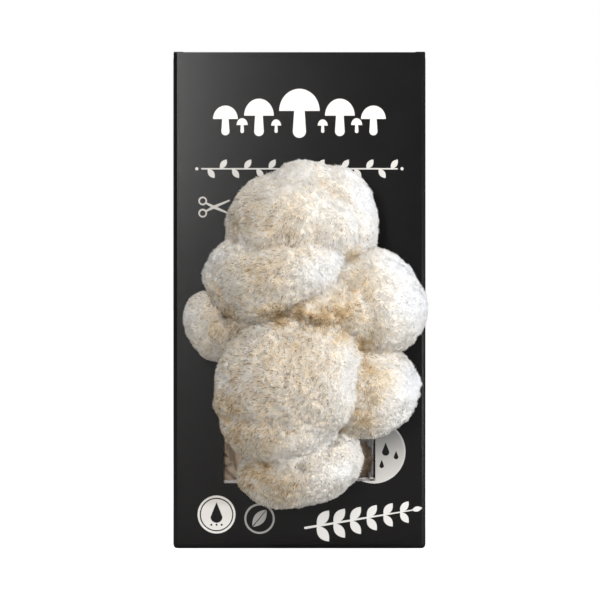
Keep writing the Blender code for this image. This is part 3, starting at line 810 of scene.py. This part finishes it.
# Where the flesh is drawn aside: across and up the front, how far round, how far right and up
DRAWN = (
    (-0.0154, 0.1156, 0.0070, 0.0000, 0.0016),
    (-0.0066, 0.1161, 0.0060, 0.0000, 0.0008),
    (0.0045, 0.1150, 0.0055, 0.0000, 0.0028),
    (0.0140, 0.1107, 0.0070, 0.0000, 0.0042),
    (0.0233, 0.1073, 0.0070, 0.0000, 0.0036),
    (0.0150, 0.1313, 0.0060, 0.0014, -0.0024),
    (-0.0129, 0.1904, 0.0090, 0.0022, -0.0024),
    (0.0301, 0.0878, 0.0090, -0.0032, 0.0000),
    (-0.0378, 0.0917, 0.0100, 0.0010, 0.0000),
    (0.0560, 0.1376, 0.0080, -0.0013, -0.0008),
)
SPINE_RISE = 0.0011
FLESH_BACK = FRONT - 0.0014
deselect_everything()
lobes = []
for name, (centre, radii, turn, stain_and_shade) in LOBES.items():
    skin_radii = Vector(radii) - Vector((1, 1, 1)) * SPINE_RISE
    bpy.ops.mesh.primitive_ico_sphere_add(
        subdivisions=5, radius=1, location=centre, rotation=(0, math.radians(turn), 0), scale=skin_radii
    )
    lobe = bpy.context.object
    bpy.ops.object.mode_set(mode="EDIT")
    bpy.ops.mesh.select_all(action="SELECT")
    bpy.ops.mesh.bisect(plane_co=(0, FLESH_BACK, 0), plane_no=(0, 1, 0), use_fill=True, clear_outer=True)
    bpy.ops.object.mode_set(mode="OBJECT")
    lobes.append(lobe)
# The neck runs from the block through the slit, and 10 mm into the lobes
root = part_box("lions_mane")[1].y
neck_length = root - FLESH_BACK + 0.010
bpy.ops.mesh.primitive_cylinder_add(
    vertices=48,
    radius=1,
    depth=1,
    location=(0, root - neck_length / 2, NECK_HEIGHT),
    rotation=(math.pi / 2, 0, 0),
    scale=(NECK_HALF_WIDTH, NECK_HALF_HEIGHT, neck_length),
)
lobes.append(bpy.context.object)
for lobe in lobes:
    lobe.select_set(True)
bpy.context.view_layer.objects.active = lobes[0]
bpy.ops.object.join()
flesh = bpy.context.object
flesh.name = "mushroom_flesh"
bpy.ops.object.transform_apply(location=True, rotation=True, scale=True)
apply_modifier(flesh, "REMESH", mode="VOXEL", voxel_size=0.0011)
apply_modifier(flesh, "SMOOTH", factor=0.5, iterations=12)
apply_modifier(flesh, "DISPLACE", texture=clouds("lobe_lumps", 0.012, 1), strength=0.0026, mid_level=0.5)
apply_modifier(flesh, "DISPLACE", texture=clouds("tuft_lumps", 0.0030, 1), strength=0.0016, mid_level=0.5)
places = read_vectors(flesh.data, "co")
for *line_ends, half_width, deep in FOLDS:
    distance = distance_to_line(places[:, [0, 2]], *line_ends)
    at_front = np.clip((FRONT - 0.010 - places[:, 1]) / 0.010, 0, 1)
    places[:, 1] += deep * np.exp(-((distance / half_width) ** 2)) * at_front
for across, height, size, right, up in DRAWN:
    away = (places[:, 0] - across) ** 2 + (places[:, 2] - height) ** 2
    at_front = np.clip((FRONT - 0.006 - places[:, 1]) / 0.010, 0, 1)
    share = np.exp(-away / (2 * size**2)) * at_front
    places += share[:, None] * np.array([right, 0.0, up])
move_to(flesh.data, places)
bpy.ops.object.shade_smooth()

# The spines: soft needles all over the flesh, 1 to 4 mm long, white where they grew last and, as painted
# light, on the sides facing right and up. They lie in drifts, gather in small tufts and hang down under
# the lobes. Some have dried to brown.
SPINE_SEED = 20
FINE_SPINES = 180000
LONG_SPINES = 28000
DRIED_SPINES = 48000
rng = np.random.default_rng(SPINE_SEED)


def unit(vectors):
    return vectors / np.maximum(np.linalg.norm(vectors, axis=1, keepdims=True), 1e-9)


def lobe_distances(places):
    """How far each place is from the skin of each lobe, about, one column for each lobe."""
    columns = []
    for centre, radii, turn, stain_and_shade in LOBES.values():
        angle = math.radians(turn)
        away = places - np.array(centre)
        local = np.stack(
            [
                away[:, 0] * math.cos(angle) - away[:, 2] * math.sin(angle),
                away[:, 1],
                away[:, 0] * math.sin(angle) + away[:, 2] * math.cos(angle),
            ],
            1,
        )
        size = np.array(radii)
        level = np.linalg.norm(local / size, axis=1)
        slope = np.linalg.norm(local / size**2, axis=1) / np.maximum(level, 1e-6)
        columns.append((level - 1) / np.maximum(slope, 1e-6))
    return np.stack(columns, 1)


# Where it has dried to tan, and where shade in the hollows is painted in as tan or dark: across and up
# the front, how far round, and how much
DRY_AND_SHADED_SPOTS = (
    (-0.0202, 0.1650, 0.0200, 0.28),
    (-0.0046, 0.1720, 0.0120, 0.30),
    (-0.0036, 0.1577, 0.0040, 0.35),
    (0.0091, 0.1600, 0.0080, 0.20),
    (0.0111, 0.1826, 0.0050, 0.42),
    (0.0179, 0.1797, 0.0050, 0.40),
    (0.0247, 0.1748, 0.0050, 0.34),
    (0.0287, 0.1689, 0.0050, 0.26),
    (-0.0183, 0.1396, 0.0160, 0.32),
    (0.0257, 0.1474, 0.0050, 0.90),
    (0.0111, 0.1171, 0.0090, 0.80),
    # These two paint the shade where the shoulder, heart and cheek meet, the second as a dark hollow
    (0.0008, 0.1197, 0.0050, 0.80),
    (0.0052, 0.1185, 0.0018, 1.50),
    (0.0199, 0.1200, 0.0080, 0.72),
    (0.0174, 0.1283, 0.0080, 0.55),
    (0.0306, 0.1039, 0.0070, 0.72),
    (0.0335, 0.0917, 0.0070, 0.65),
    (0.0365, 0.0794, 0.0080, 0.50),
    (0.0257, 0.1332, 0.0100, 0.40),
    (0.0208, 0.1085, 0.0060, 0.80),
    (0.0355, 0.1259, 0.0120, 0.32),
    (-0.0095, 0.1181, 0.0065, 0.95),
    (-0.0163, 0.1195, 0.0050, 0.60),
    (-0.0393, 0.1300, 0.0070, 0.35),
    (-0.0340, 0.1190, 0.0080, 0.50),
    (-0.0378, 0.1259, 0.0120, 0.34),
    (-0.0349, 0.1137, 0.0120, 0.38),
    (0.0003, 0.1063, 0.0130, 0.34),
    (-0.0119, 0.1015, 0.0110, 0.29),
    (0.0101, 0.0966, 0.0110, 0.26),
    (-0.0007, 0.0843, 0.0130, 0.18),
    (-0.0168, 0.0794, 0.0120, 0.25),
    (-0.0349, 0.0721, 0.0100, 0.50),
    (-0.0290, 0.0599, 0.0120, 0.48),
    (-0.0168, 0.0648, 0.0100, 0.35),
    (-0.0144, 0.0574, 0.0090, 0.50),
    (-0.0183, 0.0428, 0.0100, 0.55),
    (-0.0154, 0.0447, 0.0030, 0.95),
    (-0.0242, 0.0369, 0.0090, 0.40),
    (-0.0070, 0.0354, 0.0120, 0.42),
    (0.0306, 0.0670, 0.0090, 0.55),
    (0.0419, 0.0870, 0.0100, 0.60),
    (0.0272, 0.0711, 0.0060, 0.60),
)


def hollow_stain_and_shade(places):
    """How tan a place is, as stain and painted shade: it lies close to a second lobe, and its own lobe
    stains easily.
    """
    distances = np.abs(lobe_distances(places))
    order = np.argsort(distances, axis=1)
    own, other = order[:, 0], order[:, 1]
    gap = np.take_along_axis(distances, other[:, None], 1)[:, 0]
    weights = np.array([stain_and_shade for _, _, _, stain_and_shade in LOBES.values()])
    stain_and_shade = np.exp(-((gap / 0.0085) ** 2)) * weights[own]
    for x, z, size, strength in DRY_AND_SHADED_SPOTS:
        away = (places[:, 0] - x) ** 2 + (places[:, 2] - z) ** 2
        stain_and_shade = np.maximum(stain_and_shade, strength * np.exp(-away / size**2))
    return stain_and_shade


# Where it grew last and is whitest, and where light is painted in as whiter flesh: across and up the
# front, how far round, and how much
FRESH_AND_LIT_SPOTS = (
    (0.0003, 0.1880, 0.0140, 0.60),
    (0.0125, 0.1700, 0.0110, 0.50),
    (-0.0241, 0.1525, 0.0050, 0.50),
    (0.0335, 0.1748, 0.0120, 0.92),
    (0.0233, 0.1885, 0.0090, 0.80),
    (0.0125, 0.1381, 0.0090, 0.92),
    (0.0184, 0.1445, 0.0070, 0.92),
    (-0.0437, 0.1464, 0.0080, 0.60),
    (-0.0310, 0.1337, 0.0040, 0.55),
    (0.0565, 0.1259, 0.0150, 0.97),
    (0.0516, 0.1430, 0.0120, 0.92),
    (0.0551, 0.0843, 0.0130, 0.97),
    (0.0223, 0.0428, 0.0090, 0.85),
    (0.0150, 0.0305, 0.0100, 0.50),
    (0.0223, 0.0721, 0.0060, 0.50),
    (0.0101, 0.0574, 0.0070, 0.50),
    (-0.0070, 0.0501, 0.0080, 0.50),
    (0.0287, 0.0917, 0.0040, 0.50),
    (-0.0535, 0.1161, 0.0070, 0.45),
)


def freshness_and_light(places, facing):
    """How white a place is: where it grew last, and, as painted light, on the sides that face right and
    up.
    """
    fresh_and_lit = 0.80 * np.clip(facing @ np.array([0.85, 0.0, 0.35]) - 0.10, 0, 1)
    for x, z, size, strength in FRESH_AND_LIT_SPOTS:
        away = (places[:, 0] - x) ** 2 + (places[:, 2] - z) ** 2
        fresh_and_lit = np.maximum(fresh_and_lit, strength * np.exp(-away / (2 * size**2)))
    return fresh_and_lit


def scatter(mesh, count):
    """Places spread evenly over the skin, each with the skin's direction there."""
    mesh.calc_loop_triangles()
    corners = read_vectors(mesh, "co")
    normals = read_vectors(mesh, "normal")
    triangles = np.empty(len(mesh.loop_triangles) * 3, np.int32)
    mesh.loop_triangles.foreach_get("vertices", triangles)
    triangles = triangles.reshape(-1, 3)
    a, b, c = (corners[triangles[:, k]] for k in range(3))
    area = np.linalg.norm(np.cross(b - a, c - a), axis=1)
    middle = (a + b + c) / 3
    # None grow on the back, which presses on the board, nor on the neck
    area[middle[:, 1] > FLESH_BACK - 0.0012] = 0
    chosen = rng.choice(len(area), count, p=area / area.sum())
    u, v = rng.random((2, count))
    folded = u + v > 1
    u[folded], v[folded] = 1 - u[folded], 1 - v[folded]
    w = 1 - u - v
    weights = np.stack([w, u, v], 1)
    places = np.einsum("nk,nkd->nd", weights, corners[triangles[chosen]])
    facing = unit(np.einsum("nk,nkd->nd", weights, normals[triangles[chosen]]))
    return places, facing


def lay_direction(places, facing, flatness, stray):
    """The way each spine points: off the skin, combed by slow drifts and pulled down."""
    combed = drift_vector(places, 0.028, 11) * 0.5 + drift_vector(places, 0.009, 21) * 0.5
    combed += (drift_vector(places, 0.0022, 31) * 1.1 + rng.normal(0, 0.45, places.shape)) * stray
    # On the right lobes the pull is to the right, elsewhere to the left
    combed[:, 0] += np.clip((places[:, 0] - 0.026) / 0.006, -1, 1) * 0.35 - 0.10
    combed[:, 2] -= 0.42
    along = combed - facing * (combed * facing).sum(1, keepdims=True)
    return unit(facing * (1 - flatness)[:, None] + unit(along) * flatness[:, None])


def grow_spines(name, places, facing, length, thickness, lying, stray, bends, tone):
    """One mesh of three-sided spines, each from under the skin to its tip."""
    count = len(places)
    flatness = lying + 0.22 * np.abs(facing[:, 2]) + 0.16 * drift(places, 0.010, 41) - 0.20 * tone
    flatness = np.clip(flatness + rng.normal(0, 0.08, count), 0.1, 0.88)
    direction = lay_direction(places, facing, flatness, stray)
    side = unit(np.cross(direction, facing + 1e-4))
    lift = np.cross(side, direction)
    rings = []
    shares = [0.0, 0.55][: bends + 1]
    for share in shares:
        # It droops a little more towards its tip
        spot = places - facing * 0.0003 + direction * (length * share)[:, None]
        spot += (lift * 0.12 - np.array([0, 0, 0.10])) * (length * share * (1 - share) * 2)[:, None]
        girth = thickness * (1 - 0.45 * share)
        for corner in range(3):
            angle = 2 * math.pi * corner / 3 + math.pi / 2
            offset = side * math.cos(angle) + lift * math.sin(angle)
            rings.append(spot + offset * girth[:, None])
    droop = np.array([0, 0, -0.14]) * length[:, None]
    rings.append(places + direction * length[:, None] + droop * bends)
    per_spine = len(rings)
    corners = np.stack(rings, 1).reshape(-1, 3)
    pattern = []
    for level in range(bends):
        for k in range(3):
            low, low_next = level * 3 + k, level * 3 + (k + 1) % 3
            pattern += [(low, low_next, low_next + 3), (low, low_next + 3, low + 3)]
    last = bends * 3
    pattern += [(last + k, last + (k + 1) % 3, per_spine - 1) for k in range(3)]
    pattern = np.array(pattern)
    triangles = (pattern[None] + (np.arange(count) * per_spine)[:, None, None]).reshape(-1, 3)
    mesh = bpy.data.meshes.new(name)
    mesh.vertices.add(len(corners))
    mesh.vertices.foreach_set("co", corners.astype(np.float32).ravel())
    mesh.loops.add(triangles.size)
    mesh.loops.foreach_set("vertex_index", triangles.astype(np.int32).ravel())
    mesh.polygons.add(len(triangles))
    mesh.polygons.foreach_set("loop_start", np.arange(0, triangles.size, 3, dtype=np.int32))
    mesh.update(calc_edges=True)
    mesh.shade_smooth()
    tip = np.array([share for share in shares for _ in range(3)] + [1.0])
    store_values(mesh, "tip", np.tile(tip, count))
    store_values(mesh, "tone", np.repeat(tone, per_spine))
    piece = bpy.data.objects.new(name, mesh)
    bpy.context.scene.collection.objects.link(piece)
    return piece


WHITE_FLESH = (0.80, 0.81, 0.825, 1)
WARM_FLESH = (0.80, 0.78, 0.745, 1)
CREAM_FLESH = (0.78, 0.695, 0.555, 1)
OCHRE_FLESH = (0.57, 0.415, 0.235, 1)
DARK_FLESH = (0.19, 0.125, 0.07, 1)
flesh_tone, given, result = new_group("flesh_tone", {"tone": 0.0, "tip": 0.0}, ["colour"])
tree = flesh_tone
warmer = tint(tree, remap(tree, given["tone"], 0.0, 0.12), WHITE_FLESH, WARM_FLESH)
paler = tint(tree, remap(tree, given["tone"], 0.15, 0.60), warmer, CREAM_FLESH)
stained_and_shaded = tint(tree, remap(tree, given["tone"], 0.45, 0.9), paler, OCHRE_FLESH)
stained_and_shaded = tint(tree, remap(tree, given["tone"], 0.95, 1.5), stained_and_shaded, DARK_FLESH)
root_shade = tint(tree, remap(tree, given["tone"], 0.0, 0.5, 0.12, 0.9), stained_and_shaded, OCHRE_FLESH)
tree.links.new(tint(tree, remap(tree, given["tip"], 0.0, 0.45), root_shade, stained_and_shaded), result["colour"])

spine_finish, tree, shader = new_finish("soft_spines", Roughness=0.75)
shader.inputs["Specular IOR Level"].default_value = 0.25
tone = put(tree, "Attribute", attribute_name="tone").outputs["Fac"]
tip = put(tree, "Attribute", attribute_name="tip").outputs["Fac"]
tree.links.new(use_group(tree, flesh_tone, tone=tone, tip=tip), shader.inputs["Base Color"])


def spine_tone(places, facing):
    """From white to ochre: stained in the hollows, in drifts, with each spine a little off; painted shade
    in the hollows and on left sides, painted light on right sides.
    """
    patches = drift(places, 0.016, 51) * 0.3 + drift(places, 0.004, 61) * 0.4
    patches += drift(places, 0.0018, 65) * 0.5
    stain_and_shade = hollow_stain_and_shade(places)
    tufts = drift(places, 0.0035, 67) + drift(places, 0.0019, 69)
    # Sides facing left are painted darker, in tufts, as painted shade
    shaded = np.clip(0.25 - facing @ np.array([0.90, 0.0, 0.10]), 0, 1)
    tone = 0.10 + 0.11 * patches + stain_and_shade * (0.80 + 0.25 * patches) + shaded * (0.05 + 0.26 * tufts)
    # Most spines are pale and some have dried to ochre
    kind = rng.random(len(places))
    dried = np.where(kind < 0.05, 0.45, np.where(kind < 0.22, 0.20, 0.0))
    tone += (dried + rng.exponential(0.05, len(places))) * (0.20 + 1.2 * stain_and_shade)
    fresh_and_lit = freshness_and_light(places, facing) * np.clip(1.15 - stain_and_shade, 0, 1)
    return np.clip(tone * (1 - fresh_and_lit), 0, 1.5)


def cover_flesh(kind, count, bends, longest, thickest, lying, stray, share_size, darkened=0.0):
    """Scatters one kind of spines, with at most share_size of them in a mesh."""
    places, facing = scatter(flesh.data, count)
    length = longest * (0.62 + 0.38 * rng.random(count)) * (1 + 0.12 * drift(places, 0.012, 71))
    length *= np.where(facing[:, 2] < -0.35, 0.80, 1.0) * (1 + 0.25 * drift(places, 0.0022, 75))
    thickness = thickest * (0.75 + 0.25 * rng.random(count))
    tone = spine_tone(places, facing)
    if darkened:
        # Dried spines: they grow where the flesh has dried or is painted shaded, and hardly at all where
        # it is fresh or painted lit
        chance = np.clip(0.36 + 0.4 * hollow_stain_and_shade(places), 0, 0.6)
        kept = rng.random(count) < chance * (1 - freshness_and_light(places, facing)) ** 3
        places, facing, length = places[kept], facing[kept], length[kept]
        thickness, tone = thickness[kept], np.clip(tone[kept] * 0.4 + darkened, 0, 1.5)
        count = len(places)
    order = np.argsort(places[:, 2], kind="stable")
    pieces = []
    for number, start in enumerate(range(0, count, share_size)):
        part = order[start : start + share_size]
        shape = (places[part], facing[part], length[part], thickness[part])
        pieces.append(grow_spines(f"{kind}_{number + 1}", *shape, lying, stray, bends, tone[part]))
    return pieces


# How they bend, how long and thick they grow, how flat they lie, how far astray, how many a mesh
spines = cover_flesh("fine_spines", FINE_SPINES, 0, 0.0019, 0.00034, 0.40, 1.0, 64000)
spines += cover_flesh("long_spines", LONG_SPINES, 1, 0.0024, 0.00030, 0.62, 0.5, 15000)
spines += cover_flesh("dried_spines", DRIED_SPINES, 0, 0.0032, 0.00027, 0.82, 0.35, 60000, 1.22)
# Between its spines the flesh is painted a little darker than they are, as painted shade in the gaps
places = read_vectors(flesh.data, "co")
kept_pale = 1 - 0.8 * freshness_and_light(places, read_vectors(flesh.data, "normal"))
store_values(flesh.data, "tone", np.clip((0.30 + hollow_stain_and_shade(places)) * kept_pale, 0, 1))
flesh_finish, tree, shader = new_finish("mushroom_flesh", Roughness=0.85)
place = put(tree, "TexCoord").outputs["Object"]
pores = noise(tree, place, 900.0, 3.0)
stained_and_shaded = put(tree, "Attribute", attribute_name="tone").outputs["Fac"]
mottle = remap(tree, calc(tree, "ADD", pores, noise(tree, place, 90.0)), 0.7, 1.3, 0.0, 0.3)
tone = calc(tree, "ADD", stained_and_shaded, mottle)
tree.links.new(use_group(tree, flesh_tone, tone=tone, tip=0.5), shader.inputs["Base Color"])
raise_relief(tree, shader, pores, 0.6, 0.0005)
flesh.data.materials.append(flesh_finish)
for piece in spines:
    piece.data.materials.append(spine_finish)
for piece in [flesh] + spines:
    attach(piece, "kit")
    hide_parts("lions_mane")
